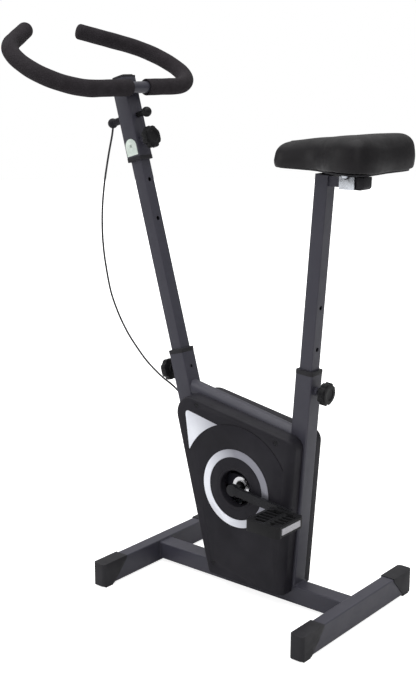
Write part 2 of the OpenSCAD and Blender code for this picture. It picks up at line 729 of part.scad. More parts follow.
// the tension control's screw crosses the stem and the post's top
module tension_housing() color(black) centred() {
  difference() {
    on_front() {
      translate([out_half + eps, 0, tension_z]) rotate([0, 90, 0]) cylinder(r = 8, h = ball_out - 2);
      translate([out_half + ball_out, 0, tension_z]) sphere(11);
      translate([out_half + eps, -7, tension_z - 22]) cube([9, 14, 22]);
    }
    on_front() cross_hole(tension_z, 3.5, out_half - 1, out_half + 30);
    translate([cable_route[0][0] - 0.2, 0, cable_route[0][1] + 1])
      rotate([0, 167, 0]) cylinder(r = 3.4, h = 20);
  }
}
module tension_knob() color(black) centred() on_front() {
  cross_hole(tension_z, 3, -out_half - 16, out_half + 28);
  cross_hole(tension_z, 6, -out_half - 22, -out_half - gap);
  translate([-out_half - 27, 0, tension_z]) difference() {
    sphere(11);
    for (a = [0 : 45 : 315]) rotate([a, 0, 0]) translate([-14, 11.6, 0])
      rotate([0, 90, 0]) cylinder(r = 1.8, h = 28);
  }
}
module label_plate() color(zinc) centred() on_front()
  translate([0, out_half + eps, stem_start + 23.5]) difference() {
  union() {
    along_y(0, 0.8, 15.8);
    translate([-15.8, 0, -20.5]) cube([31.6, 0.8, 20.5]);
    along_y(0.5, 2.2, 3.6);
  }
  translate([-2.2, 1.4, -2.2]) cube([4.4, 2, 4.4]);
}

// ---------- lock knobs ----------
// local X runs outward from the tube's face
module lock_knob(face) {
  tip = face - tube_wall + 0.6;
  rotate([0, 90, 0]) {
    translate([0, 0, tip]) cylinder(r = pin_radius, h = 26);
    translate([0, 0, face + 7 + pin_travel + 0.6]) cylinder(r = 9, h = 6);
    translate([0, 0, face + 7 + pin_travel + 5]) difference() {
      union() {
        cylinder(r = knob_diameter / 2, h = 12);
        cylinder(r = knob_diameter / 2 - 4, h = 15);
      }
      for (a = [0 : 45 : 315]) rotate([0, 0, a])
        translate([knob_diameter / 2 + 4, 0, -1]) cylinder(r = 6.5, h = 20);
      translate([0, 0, 13.4]) cylinder(r = 12, h = 3);
    }
  }
}
module stem_knob() color(black) centred() on_front()
  translate([0, 0, stem_start + lock_depth]) mirror([1, 0, 0]) lock_knob(out_half);
module seat_knob() color(black) centred() on_seat()
  translate([0, 0, seat_end - lock_depth]) mirror([1, 0, 0]) lock_knob(out_half);
module front_knob() color(black) centred() on_front()
  translate([0, 0, front_end - lock_depth]) lock_knob(out_half);

// ---------- seat ----------
arm_z = 903;          // axis of the saddle's carrying arm
arm_half = 10;
arm_rear_x = -298;
clamp_x = -268;
cheek_in = 18;
tilt_z = saddle_base_height - 9.5;
bolt_r = 3.5;
module seat_post() color(paint) centred() {
  difference() {
    union() {
      on_seat() difference() {
        square_tube(inner_tube, tube_wall, seat_post_start, seat_post_end, 2.5);
        for (i = [0 : lock_steps])
          cross_hole(seat_end - lock_depth + i * hole_pitch, pin_radius + 0.8, -30, 0);
      }
      difference() {
        translate([arm_rear_x, -arm_half, arm_z - arm_half]) cube([100, 2 * arm_half, 2 * arm_half]);
        translate([arm_rear_x - 1, -arm_half + 2, arm_z - arm_half + 2])
          cube([100, 2 * arm_half - 4, 2 * arm_half - 4]);
        on_seat() translate([-post_half + 0.2, -100, -100]) cube([300, 200, 1200]);
      }
    }
  }
}
module arm_end_cap() color(black) centred() {
  side = arm_half + 5;
  difference() {
    union() {
      translate([arm_rear_x - 6, -side, arm_z - 5]) cube([18, 2 * side, 16.5]);
      translate([arm_rear_x + 2, 0, arm_z - 5]) along_y(-side, side, 8);
      translate([arm_rear_x + 2, -side, arm_z - 13]) cube([10, 2 * side, 10]);
    }
    translate([arm_rear_x - eps, -arm_half - eps, arm_z - arm_half - eps])
      cube([60, 2 * arm_half + 2 * eps, 2 * arm_half + 2 * eps]);
  }
}
module saddle_clamp() color(zinc) centred() {
  difference() {
    union() {
      translate([clamp_x - 17, -cheek_in, arm_z - arm_half - 3]) cube([34, 2 * cheek_in, 5]);
      for (s = [0, 1]) mirror([0, s, 0]) {
        translate([clamp_x - 17, arm_half + 0.2, arm_z - arm_half - 3])
          cube([34, cheek_in - arm_half - 0.2, tilt_z - arm_z + arm_half]);
        translate([clamp_x, 0, tilt_z]) along_y(arm_half + 0.5, cheek_in, bolt_r + 2);
        translate([clamp_x - bolt_r - 2, arm_half + 0.5, tilt_z - 8])
          cube([2 * bolt_r + 4, cheek_in - arm_half - 0.5, 8]);
      }
    }
    translate([clamp_x - 50, -arm_half - 0.05, arm_z - arm_half - 0.05])
      cube([100, 2 * arm_half + 0.1, 2 * arm_half + 9]);
    translate([clamp_x, 0, tilt_z]) along_y(-40, 40, bolt_r + run);
  }
}
module clamp_bolt() color(steel) centred() translate([clamp_x, 0, tilt_z]) {
  along_y(-cheek_in - 8, cheek_in + 8, bolt_r);
  for (s = [0, 1]) mirror([0, s, 0]) {
    along_y(cheek_in + 4 + gap, cheek_in + 5.3, 5.8);
    translate([0, cheek_in + 5, 0]) rotate([-90, 0, 0]) cylinder(r = 5.6, h = 5.5, $fn = 6);
  }
}
// half of the saddle's plan, nose to back, as shares of length and half width
saddle_plan = [[0, 0], [0.006, 0.13], [0.025, 0.235], [0.06, 0.305], [0.12, 0.345], [0.25, 0.37],
  [0.37, 0.405], [0.46, 0.475], [0.54, 0.6], [0.61, 0.745], [0.69, 0.875], [0.78, 0.96], [0.87, 1],
  [0.94, 0.985], [0.98, 0.93],
  [0.995, 0.82], [1, 0.6], [0.993, 0.3], [0.985, 0]];
module saddle_outline(share) {
  half = [for (p = saddle_plan)
    [saddle_nose_x - saddle_length * ((p[0] - 0.55) * share + 0.55), p[1] * saddle_width / 2 * share]];
  polygon(concat(half, [for (i = [len(half) - 2 : -1 : 1]) [half[i][0], -half[i][1]]]));
}
module saddle_pad() color(vinyl) centred() {
  z = saddle_base_height;
  xn = saddle_nose_x;
  l = saddle_length;
  intersection() {
    translate([0, 0, z]) linear_extrude(90) saddle_outline(1);
    translate([0, 150, 0]) rotate([90, 0, 0]) linear_extrude(300) polygon([[xn + 1, z], [xn + 1, z + 22],
      [xn - 4, z + 32], [xn - 14, z + 40], [xn - 30, z + 45], [xn - 0.45 * l, z + 52.5],
      [xn - 0.75 * l, z + 61],
      [xn - 0.9 * l, z + 65], [xn - 0.96 * l, z + 60], [xn - 0.99 * l, z + 50],
      [xn - l - 1, z + 36], [xn - l - 1, z]]);
  }
}
module saddle_base() color(black) centred() {
  translate([0, 0, saddle_base_height - 3.3]) linear_extrude(3) saddle_outline(0.88);
  for (s = [0, 1]) mirror([0, s, 0]) difference() {
    union() {
      translate([clamp_x - 12, cheek_in + gap, tilt_z - 2])
        cube([24, 4 - gap, saddle_base_height - 1 - tilt_z]);
      translate([clamp_x, 0, tilt_z]) along_y(cheek_in + gap, cheek_in + 4, 8);
    }
    translate([clamp_x, 0, tilt_z]) along_y(0, 60, bolt_r + run);
  }
}
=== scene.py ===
"""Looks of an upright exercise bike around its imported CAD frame.

Metres, +X forward, +Y rider's left, +Z up.
"""

import json
import math

import bmesh
import bpy
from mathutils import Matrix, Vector
from mathutils.geometry import convex_hull_2d


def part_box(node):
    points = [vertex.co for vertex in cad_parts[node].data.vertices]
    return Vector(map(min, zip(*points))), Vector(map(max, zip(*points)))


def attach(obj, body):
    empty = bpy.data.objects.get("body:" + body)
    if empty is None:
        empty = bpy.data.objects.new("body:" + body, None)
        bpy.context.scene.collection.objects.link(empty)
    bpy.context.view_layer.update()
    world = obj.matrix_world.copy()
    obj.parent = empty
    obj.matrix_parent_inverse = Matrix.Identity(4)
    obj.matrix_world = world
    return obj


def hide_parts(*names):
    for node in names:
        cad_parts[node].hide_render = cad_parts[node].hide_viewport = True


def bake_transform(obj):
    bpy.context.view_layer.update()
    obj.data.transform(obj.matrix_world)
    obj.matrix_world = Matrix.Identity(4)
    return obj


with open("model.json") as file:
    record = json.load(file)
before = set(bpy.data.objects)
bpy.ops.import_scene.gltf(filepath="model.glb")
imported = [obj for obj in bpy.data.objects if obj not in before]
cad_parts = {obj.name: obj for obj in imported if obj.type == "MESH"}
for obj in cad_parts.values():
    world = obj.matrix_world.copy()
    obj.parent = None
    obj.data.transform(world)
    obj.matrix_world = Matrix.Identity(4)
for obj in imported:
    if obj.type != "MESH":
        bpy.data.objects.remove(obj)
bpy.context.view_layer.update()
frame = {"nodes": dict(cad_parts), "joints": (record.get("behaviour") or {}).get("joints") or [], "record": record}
NODES = frame["nodes"]
MM = 0.001


# ---------- places, from the frame ----------
def joint(name):
    return next(j for j in frame["joints"] if j["name"] == name)


CRANK = Vector(joint("crank_spin")["pos_m"])
CRANK_BACK = 0.036                    # the crank axis behind the design's own zero
SHIFT = CRANK.x + CRANK_BACK          # the frame's x of the design's own zero


def row(x, z, y=0.0):
    """A point of the design's side view, in millimetres, as a point of the frame."""
    return Vector((x * MM + SHIFT, y * MM, z * MM))


# ---------- shader helpers ----------
class Shader:
    """A principled material with a few short ways to add procedural detail."""

    def __init__(self, name, color, rough, metallic=0.0, **sockets):
        self.mat = bpy.data.materials.new(name)
        self.mat.use_nodes = True
        self.tree = self.mat.node_tree
        self.bsdf = next(n for n in self.tree.nodes if n.type == "BSDF_PRINCIPLED")
        self.set("Base Color", (*color, 1))
        self.set("Roughness", rough)
        self.set("Metallic", metallic)
        for key, value in sockets.items():
            self.set(key.replace("_", " "), value)
        self.color = color
        self.coord = self.node("ShaderNodeTexCoord").outputs["Object"]
        self.normal = None

    def node(self, kind, **props):
        made = self.tree.nodes.new(kind)
        for key, value in props.items():
            setattr(made, key, value)
        return made

    def set(self, socket, value):
        self.bsdf.inputs[socket].default_value = value

    def link(self, a, b):
        self.tree.links.new(a, b)

    def noise(self, scale, detail=3, stretch=(1, 1, 1), rough=0.5):
        tex = self.node("ShaderNodeTexNoise")
        tex.inputs["Scale"].default_value = scale
        tex.inputs["Detail"].default_value = detail
        tex.inputs["Roughness"].default_value = rough
        at = self.node("ShaderNodeMapping")
        at.inputs["Scale"].default_value = stretch
        self.link(self.coord, at.inputs["Vector"])
        self.link(at.outputs["Vector"], tex.inputs["Vector"])
        return tex.outputs["Fac"]

    def cells(self, scale, feature="F1", stretch=(1, 1, 1)):
        tex = self.node("ShaderNodeTexVoronoi", feature=feature)
        tex.inputs["Scale"].default_value = scale
        at = self.node("ShaderNodeMapping")
        at.inputs["Scale"].default_value = stretch
        self.link(self.coord, at.inputs["Vector"])
        self.link(at.outputs["Vector"], tex.inputs["Vector"])
        return tex.outputs["Distance"]

    def spread(self, value, low, high, a=0.3, b=0.7):
        """The value's range a to b becomes low to high."""
        out = self.node("ShaderNodeMapRange")
        for key, v in (("From Min", a), ("From Max", b), ("To Min", low), ("To Max", high)):
            out.inputs[key].default_value = v
        self.link(value, out.inputs["Value"])
        return out.outputs["Result"]

    def vary_color(self, value, other, a=0.35, b=0.75):
        """Mixes the base colour with another where the value is high."""
        mix = self.node("ShaderNodeMix", data_type="RGBA")
        current = self.bsdf.inputs["Base Color"]
        if current.is_linked:
            self.link(current.links[0].from_socket, mix.inputs[6])
        else:
            mix.inputs[6].default_value = (*self.color, 1)
        mix.inputs[7].default_value = (*other, 1)
        self.link(self.spread(value, 0, 1, a, b), mix.inputs[0])
        self.link(mix.outputs[2], current)
        return self

    def slope(self, origin, direction, low, high):
        """A value from 0 to 1 as a point goes from low to high metres along a direction from the origin."""
        away = self.node("ShaderNodeVectorMath", operation="SUBTRACT")
        away.inputs[1].default_value = origin
        self.link(self.coord, away.inputs[0])
        dot = self.node("ShaderNodeVectorMath", operation="DOT_PRODUCT")
        dot.inputs[1].default_value = direction
        self.link(away.outputs[0], dot.inputs[0])
        return self.spread(dot.outputs["Value"], 0, 1, low, high)

    def radius(self, origin, low, high):
        """A value from 0 to 1 as the distance from an axis along Y goes from low to high metres."""
        away = self.node("ShaderNodeVectorMath", operation="SUBTRACT")
        away.inputs[1].default_value = origin
        self.link(self.coord, away.inputs[0])
        flat = self.node("ShaderNodeVectorMath", operation="MULTIPLY")
        flat.inputs[1].default_value = (1, 0, 1)
        self.link(away.outputs[0], flat.inputs[0])
        length = self.node("ShaderNodeVectorMath", operation="LENGTH")
        self.link(flat.outputs[0], length.inputs[0])
        return self.spread(length.outputs["Value"], 0, 1, low, high)

    def vary_rough(self, value, low, high):
        self.link(self.spread(value, low, high), self.bsdf.inputs["Roughness"])
        return self

    def bump(self, value, depth, strength=1.0):
        """depth in millimetres"""
        made = self.node("ShaderNodeBump")
        made.inputs["Distance"].default_value = depth * MM
        made.inputs["Strength"].default_value = strength
        self.link(value, made.inputs["Height"])
        if self.normal:
            self.link(self.normal, made.inputs["Normal"])
        self.normal = made.outputs["Normal"]
        self.link(self.normal, self.bsdf.inputs["Normal"])
        return self

    def worn_edges(self, color, width=0.8, amount=0.5):
        """Lighter edges, where the rounded normal leaves the face's own."""
        round_ = self.node("ShaderNodeBevel", samples=4)
        round_.inputs["Radius"].default_value = width * MM
        flat = self.node("ShaderNodeNewGeometry").outputs["Normal"]
        dot = self.node("ShaderNodeVectorMath", operation="DOT_PRODUCT")
        self.link(round_.outputs["Normal"], dot.inputs[0])
        self.link(flat, dot.inputs[1])
        mask = self.spread(dot.outputs["Value"], amount, 0, 0.8, 0.98)
        patchy = self.node("ShaderNodeMath", operation="MULTIPLY")
        self.link(mask, patchy.inputs[0])
        self.link(self.spread(self.noise(60, 4), 0.2, 1), patchy.inputs[1])
        return self.vary_color(patchy.outputs[0], color, 0, 1)


# ---------- materials ----------
def frame_paint():
    s = Shader("frame_paint", (0.040, 0.039, 0.053), 0.4, Specular_IOR_Level=0.35)
    s.vary_color(s.noise(9, 2), (0.046, 0.045, 0.059)).vary_rough(s.noise(35, 4), 0.32, 0.44)
    s.bump(s.noise(900, 2), 0.05, 0.5).bump(s.noise(160, 2), 0.06, 0.35)
    return s.worn_edges((0.16, 0.16, 0.18), 0.7, 0.55).mat


def moulded(name, color, low, high, grain=1400, depth=0.04):
    s = Shader(name, color, (low + high) / 2, Specular_IOR_Level=0.15)
    lighter = tuple(c * 1.35 + 0.002 for c in color)
    s.vary_color(s.noise(14, 3), lighter).vary_rough(s.noise(50, 3), low, high)
    s.bump(s.cells(grain), depth, 0.45).bump(s.noise(220, 2), 0.05, 0.3)
    return s.worn_edges(tuple(c * 2.2 + 0.01 for c in color), 0.6, 0.5).mat


def grip_foam():
    s = Shader("grip_foam", (0.019, 0.0165, 0.019), 0.95, Specular_IOR_Level=0.12)
    s.vary_color(s.cells(620), (0.036, 0.032, 0.036), 0.2, 0.75)
    s.vary_color(s.noise(45, 4), (0.023, 0.020, 0.0225), 0.4, 0.7)
    return s.bump(s.cells(700), 0.5, 0.7).bump(s.noise(230, 5, rough=0.7), 0.5, 0.55).mat


def saddle_vinyl():
    s = Shader("saddle_vinyl", (0.0058, 0.005, 0.0062), 0.42, Specular_IOR_Level=0.24)
    s.vary_color(s.noise(25, 3), (0.0082, 0.007, 0.0085)).vary_rough(s.noise(70, 3), 0.4, 0.52)
    return s.bump(s.cells(520, "SMOOTH_F1"), 0.16, 0.6).bump(s.noise(1500, 2), 0.04, 0.4).mat


def belt_rubber():
    s = Shader("belt_rubber", (0.012, 0.012, 0.012), 0.7)
    return s.vary_rough(s.noise(80), 0.6, 0.8).bump(s.noise(700, 2, (0.1, 1, 0.1)), 0.1, 0.5).mat


def cable_rubber():
    s = Shader("cable_rubber", (0.012, 0.012, 0.014), 0.36)
    return s.vary_rough(s.noise(120), 0.3, 0.45).bump(s.noise(900, 2), 0.03, 0.4).mat


def metal(name, color, low, high, grain, stretch=(1, 1, 1), depth=0.02, stain=0.8):
    s = Shader(name, color, (low + high) / 2, 1.0)
    s.vary_color(s.noise(70, 4), tuple(c * stain for c in color))
    s.vary_rough(s.noise(grain, 3, stretch), low, high)
    s.bump(s.noise(grain, 3, stretch), depth, 0.4)
    return s.worn_edges(tuple(min(1, c * 1.3) for c in color), 0.4, 0.6).mat


def trim_foil_with_painted_shade():
    s = Shader("trim_silver", (0.90, 0.92, 0.98), 0.36, 0.6)
    s.vary_color(s.noise(30, 3), (0.83, 0.85, 0.92))
    # painted shade: the base colour darkens towards the rear and the top of the trim, as if less light fell there
    s.vary_color(s.slope(CRANK, (-1.3, 0, 0.7), -0.08, 0.05), (0.27, 0.27, 0.31), 0, 1)
    s.vary_rough(s.noise(260, 4, (1, 1, 6)), 0.3, 0.42)
    return s.bump(s.noise(1100, 2), 0.02, 0.4).mat


def reflector():
    s = Shader("reflector", (0.33, 0.32, 0.35), 0.3, Coat_Weight=0.5, Coat_Roughness=0.12)
    s.vary_color(s.cells(330), (0.44, 0.43, 0.46), 0.1, 0.6)
    return s.bump(s.cells(330, "F1"), 0.7, 0.7).mat


def label_metal():
    s = Shader("label_metal", (0.66, 0.76, 0.69), 0.42, 0.35)
    s.vary_color(s.noise(90, 4), (0.80, 0.86, 0.80)).vary_rough(s.noise(300, 3, (1, 1, 8)), 0.34, 0.5)
    return s.bump(s.noise(900, 2), 0.02, 0.4).worn_edges((0.9, 0.9, 0.9), 0.4, 0.5).mat


def bearing_steel():
    s = Shader("bright_steel", (0.010, 0.010, 0.010), 0.3, 1.0)
    s.vary_color(s.radius(CRANK, 12.2 * MM, 12.8 * MM), (0.72, 0.72, 0.74), 0, 1)
    s.vary_rough(s.noise(200), 0.16, 0.28)
    return s.bump(s.noise(400, 3), 0.02, 0.4).mat


MATERIALS = {
    "frame_paint": frame_paint(),
    "tube_plastic": moulded("tube_plastic", (0.020, 0.0195, 0.022), 0.4, 0.52),
    "cover_plastic": moulded("cover_plastic", (0.0135, 0.0127, 0.0165), 0.46, 0.56, 1100, 0.05),
    "grip_foam": grip_foam(),
    "saddle_vinyl": saddle_vinyl(),
    "crank_steel": moulded("crank_steel", (0.012, 0.012, 0.014), 0.24, 0.34, 600, 0.01),
    "pedal_plastic": moulded("pedal_plastic", (0.010, 0.010, 0.011), 0.3, 0.42),
    "reflector": reflector(),
    "bright_steel": bearing_steel(),
    "plated_steel": metal("plated_steel", (0.72, 0.75, 0.80), 0.22, 0.36, 260),
    "turned_steel": metal("turned_steel", (0.32, 0.32, 0.34), 0.3, 0.45, 500, (1, 30, 1)),
    "trim_silver": trim_foil_with_painted_shade(),
    "knob_plastic": moulded("knob_plastic", (0.0085, 0.0085, 0.0095), 0.3, 0.42, 900, 0.03),
    "cable_rubber": cable_rubber(),
    "belt_rubber": belt_rubber(),
    "label_metal": label_metal(),
}
SLOT = {p["node"]: p["material_slot"] for p in frame["record"]["subparts"]}
BODY = {n: b for b, ns in frame["record"]["behaviour"]["bodies"].items() for n in ns}


def paint(obj, slot):
    obj.data.materials.clear()
    obj.data.materials.append(MATERIALS[slot])


# ---------- mesh helpers ----------
def turns(n):
    """n even angles of one full turn."""
    return [2 * math.pi * i / n for i in range(n)]


def ease(value, a, b):
    """0 below a, 1 above b, and a smooth step between them."""
    t = min(1.0, max(0.0, (value - a) / (b - a)))
    return t * t * (3 - 2 * t)


def spline(a, b, c, d, t):
    """A point between b and c on the smooth curve through the four points."""
    return 0.5 * ((2 * b) + (c - a) * t + (2 * a - 5 * b + 4 * c - d) * t * t
                  + (3 * b - a - 3 * c + d) * t ** 3)


def new_mesh(name, points, faces, smooth=True):
    mesh = bpy.data.meshes.new(name)
    mesh.from_pydata([tuple(p) for p in points], [], faces)
    mesh.validate()
    obj = bpy.data.objects.new(name, mesh)
    bpy.context.scene.collection.objects.link(obj)
    bm = bmesh.new()
    bm.from_mesh(mesh)
    bmesh.ops.recalc_face_normals(bm, faces=bm.faces)
    bm.to_mesh(mesh)
    bm.free()
    if smooth:
        mesh.shade_smooth()
    return obj


def skin(rings, ends=True):
    """Points and faces of a surface through rings with the same number of points."""
    n = len(rings[0])
    points = [p for ring in rings for p in ring]
    faces = [(i * n + k, (i + 1) * n + k, (i + 1) * n + (k + 1) % n, i * n + (k + 1) % n)
             for i in range(len(rings) - 1) for k in range(n)]
    if ends:
        faces += [tuple(range(n)), tuple((len(rings) - 1) * n + k for k in range(n - 1, -1, -1))]
    return points, faces


def apply_modifiers(obj):
    bpy.context.view_layer.update()
    made = bpy.data.meshes.new_from_object(obj.evaluated_get(bpy.context.evaluated_depsgraph_get()))
    obj.modifiers.clear()
    obj.data = made
    return obj


def modifier(obj, kind, **props):
    made = obj.modifiers.new(kind.title(), kind)
    for key, value in props.items():
        setattr(made, key, value)
    return made


def place(obj, slot, body, *stands_for):
    """Gives a new piece its material and body, and hides the CAD nodes that it stands for."""
    paint(obj, slot)
    if body:
        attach(obj, body)
    if stands_for:
        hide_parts(*stands_for)
    return obj


def islands(node):
    """Middle points of the separate solids in a CAD node, always in the same order."""
    bm = bmesh.new()
    bm.from_mesh(NODES[node].data)
    bmesh.ops.remove_doubles(bm, verts=bm.verts, dist=1e-6)
    left, found = set(bm.verts), []
    while left:
        stack, group = [left.pop()], []
        while stack:
            v = stack.pop()
            group.append(v.co.copy())
            for e in v.link_edges:
                w = e.other_vert(v)
                if w in left:
                    left.remove(w)
                    stack.append(w)
        low = Vector([min(p[i] for p in group) for i in range(3)])
        high = Vector([max(p[i] for p in group) for i in range(3)])
        found.append((low + high) / 2)
    bm.free()
    return sorted(found, key=tuple)


# ---------- carried-over CAD nodes ----------
FILLETS = {                                # millimetres, on nodes that are moulded or forged
    "front_left_cap": 2.4, "front_right_cap": 2.4, "rear_left_cap": 2.4, "rear_right_cap": 2.4,
    "front_bushing": 1.2, "seat_bushing": 1.2, "stem_bushing": 1.2, "stem_cap": 2.2,
    "crank": 2.2, "left_pedal": 1.0, "right_pedal": 1.0, "left_reflectors": 0.5, "right_reflectors": 0.5,
    "stem_knob": 1.3, "seat_knob": 1.3, "front_knob": 1.3, "tension_knob": 0.7, "tension_housing": 0.8,
    "arm_end_cap": 1.8, "saddle_clamp": 0.8, "clamp_bolt": 0.5, "label_plate": 0.25,
    "left_trim": 0.25, "right_trim": 0.25, "cover_screws": 0.25, "base_rail": 0.3, "stem_tube": 0.3,
}


def finish_nodes():
    for name, obj in NODES.items():
        paint(obj, SLOT[name])
        modifier(obj, "WELD", merge_threshold=2e-6)
        if name in FILLETS:
            modifier(obj, "DECIMATE", decimate_type="DISSOLVE", angle_limit=math.radians(1.2))
            modifier(obj, "BEVEL", width=FILLETS[name] * MM, segments=3, limit_method="ANGLE",
                     angle_limit=math.radians(38), use_clamp_overlap=True, harden_normals=False)
        obj.data.shade_smooth()
        smooth_by_angle(obj)


def smooth_by_angle(obj, degrees=32):
    """Sharp edges stay sharp where faces meet at more than this angle."""
    group = bpy.data.node_groups.get("smooth_by_angle")
    if group is None:
        group = bpy.data.node_groups.new("smooth_by_angle", "GeometryNodeTree")
        group.interface.new_socket("Geometry", in_out="INPUT", socket_type="NodeSocketGeometry")
        group.interface.new_socket("Geometry", in_out="OUTPUT", socket_type="NodeSocketGeometry")
        start, end = group.nodes.new("NodeGroupInput"), group.nodes.new("NodeGroupOutput")
        angle = group.nodes.new("GeometryNodeInputMeshEdgeAngle")
        test = group.nodes.new("FunctionNodeCompare")
        test.data_type, test.operation = "FLOAT", "LESS_EQUAL"
        test.inputs[1].default_value = math.radians(degrees)
        edges = group.nodes.new("GeometryNodeSetShadeSmooth")
        edges.domain = "EDGE"
        group.links.new(angle.outputs["Unsigned Angle"], test.inputs[0])
        group.links.new(start.outputs[0], edges.inputs["Geometry"])
        group.links.new(test.outputs[0], edges.inputs["Shade Smooth"])
        group.links.new(edges.outputs["Geometry"], end.inputs[0])
    modifier(obj, "NODES", node_group=group)


# ---------- foam grips ----------
BAR_R, GRIP_R, BAR_RISE = 12.7 * MM, 18 * MM, math.radians(25.6)
BAR_CORNER, BAR_SIDE, BAR_BEND_R, BAR_BEND, BAR_END = 0.105, 0.006, 0.128, math.radians(55), 0.112
GRIP_START = {1: 0.021, -1: 0.032}    # from the bar's middle, left side and right side
GRIP_NOSE, GRIP_ROUND, GRIP_SIDES = 0.006, 9 * MM, 40
GRIP_BORE = BAR_R + 0.3 * MM


def bar_line(half, start, nose, step=0.004):
    """Points and directions along one side of the handlebar in its own plane, (forward, sideways)."""
    line, y1 = [], half - BAR_CORNER
    n = max(2, round((y1 - start) / step))
    line += [((0, start + (y1 - start) * i / n), (0, 1)) for i in range(n)]
    n = round(BAR_CORNER * math.pi / 2 / step)
    for i in range(n):
        a = math.pi / 2 * i / n
        line.append(((BAR_CORNER * (1 - math.cos(a)), y1 + BAR_CORNER * math.sin(a)),
                     (math.sin(a), math.cos(a))))
    n = round(BAR_SIDE / step)
    line += [((BAR_CORNER + BAR_SIDE * i / n, half), (1, 0)) for i in range(n)]
    n = round(BAR_BEND_R * BAR_BEND / step)

    def bent(a):
        at = (BAR_CORNER + BAR_SIDE + BAR_BEND_R * math.sin(a), half - BAR_BEND_R * (1 - math.cos(a)))
        return at, (math.cos(a), -math.sin(a))

    line += [bent(BAR_BEND * i / n) for i in range(n)]
    end, d = bent(BAR_BEND)
    long = BAR_END + nose
    n = round(long / step)
    line += [((end[0] + d[0] * long * i / n, end[1] + d[1] * long * i / n), d) for i in range(n + 1)]
    return line


def grip(side):
    """A foam sleeve: cut square at the inner end, rounded over at the nose."""
    low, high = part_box("handlebar")
    at = Vector((low.x + BAR_R, 0, low.z + BAR_R))
    ahead = Vector((math.cos(BAR_RISE), 0, math.sin(BAR_RISE)))
    up = Vector((-math.sin(BAR_RISE), 0, math.cos(BAR_RISE)))
    line = bar_line(high.y - BAR_R, GRIP_START[side], GRIP_NOSE)
    steps = [0.0] + [math.dist(a[0], b[0]) for a, b in zip(line, line[1:])]
    walked = [sum(steps[:i + 1]) for i in range(len(steps))]
    total = walked[-1]

    def ring(k, radius, back=0.0):
        (u, v), (du, dv) = line[k]
        centre = at + ahead * (u - du * back) + Vector((0, side * (v - dv * back), 0))
        across = ahead * dv - Vector((0, side * du, 0))
        return [centre + (across * math.cos(t) + up * math.sin(t)) * radius for t in turns(GRIP_SIDES)]

    rings = [ring(3, GRIP_BORE), ring(0, GRIP_BORE), ring(0, GRIP_R - 1.4 * MM),
             ring(0, GRIP_R - 0.5 * MM, -0.4 * MM), ring(0, GRIP_R, -1.4 * MM)]
    for k in range(1, len(line)):
        if total - walked[k] < GRIP_ROUND:
            break
        swell = 0.25 * MM * math.sin(walked[k] * 95) * math.sin(walked[k] * 37 + side)
        rings.append(ring(k, GRIP_R + swell))
    last = len(line) - 1
    for t in range(1, 10):
        a = math.pi / 2 * t / 10
        rings.append(ring(last, GRIP_R * (0.42 + 0.58 * math.cos(a)), GRIP_ROUND * (1 - math.sin(a))))
    rings.append(ring(last, GRIP_R * 0.30, 0.2 * MM))
    points, faces = skin(rings, ends=False)
    faces.append(tuple((len(rings) - 1) * GRIP_SIDES + k for k in range(GRIP_SIDES)))
    name = "left_grip" if side > 0 else "right_grip"
    obj = new_mesh(name + "_foam", points, faces)
    place(obj, "grip_foam", BODY[name], name)


# ---------- saddle ----------
def cloth_puff(obj, pressure, cap):
    """Swells the mesh under its own skin, then lets no point move further than cap."""
    rest = [v.co.copy() for v in obj.data.vertices]
    cloth = modifier(obj, "CLOTH")
    cloth.settings.use_pressure = True
    cloth.settings.uniform_pressure_force = pressure
    cloth.settings.quality = 6
    cloth.settings.tension_stiffness = cloth.settings.compression_stiffness = 30
    cloth.settings.effector_weights.gravity = 0
    cloth.point_cache.frame_start, cloth.point_cache.frame_end = 1, 20
    for f in range(1, 21):
        bpy.context.scene.frame_set(f)
    apply_modifiers(obj)
    for v, r in zip(obj.data.vertices, rest):
        moved = v.co - r
        if moved.length > cap:
            v.co = r + moved * (cap / moved.length)


EDGE_R = 26 * MM                      # round of the pad's upper edge
RIM = 3.6                             # millimetres that the rim hangs below the board's top
REAR_LIFT, SIDE_LIFT = 3.2, 2.0       # millimetres that the rim rises towards the rear and the sides
CUSHION_SHARE = 0.957                 # the cushion's length as a share of its CAD solid's
# share of the length from the nose, and millimetres above the board
SADDLE_TOP = [(0.0, 43), (0.11, 45), (0.45, 56), (0.62, 61), (0.78, 65), (0.9, 67), (1.0, 67)]


def even(points, n):
    """n points spaced evenly along a closed line, from its first point."""
    loop = points + points[:1]
    steps = [(b - a).length for a, b in zip(loop, loop[1:])]
    total, found, i, passed = sum(steps), [], 0, 0.0
    for k in range(n):
        at = total * k / n
        while passed + steps[i] < at:
            passed += steps[i]
            i += 1
        found.append(loop[i].lerp(loop[i + 1], (at - passed) / steps[i]))
    return found


def shrink(points, distance, sides):
    """The closed line moved inwards in small steps, kept even and mirrored."""
    steps = max(1, math.ceil(abs(distance) / (1.5 * MM)))
    n = len(points)
    for _ in range(steps):
        moved = []
        for i, p in enumerate(points):
            d = (points[(i + 1) % n] - points[i - 1]).normalized()
            moved.append(p + Vector((-d.y, d.x)) * (distance / steps))
        if distance > 0:
            moved = [moved[i] * 0.7 + (moved[i - 1] + moved[(i + 1) % n]) * 0.15 for i in range(n)]
        half = even(moved, sides)
        points = [Vector((half[i].x / 2 + half[-i].x / 2, half[i].y / 2 - half[-i].y / 2)) for i in range(n)]
    return points


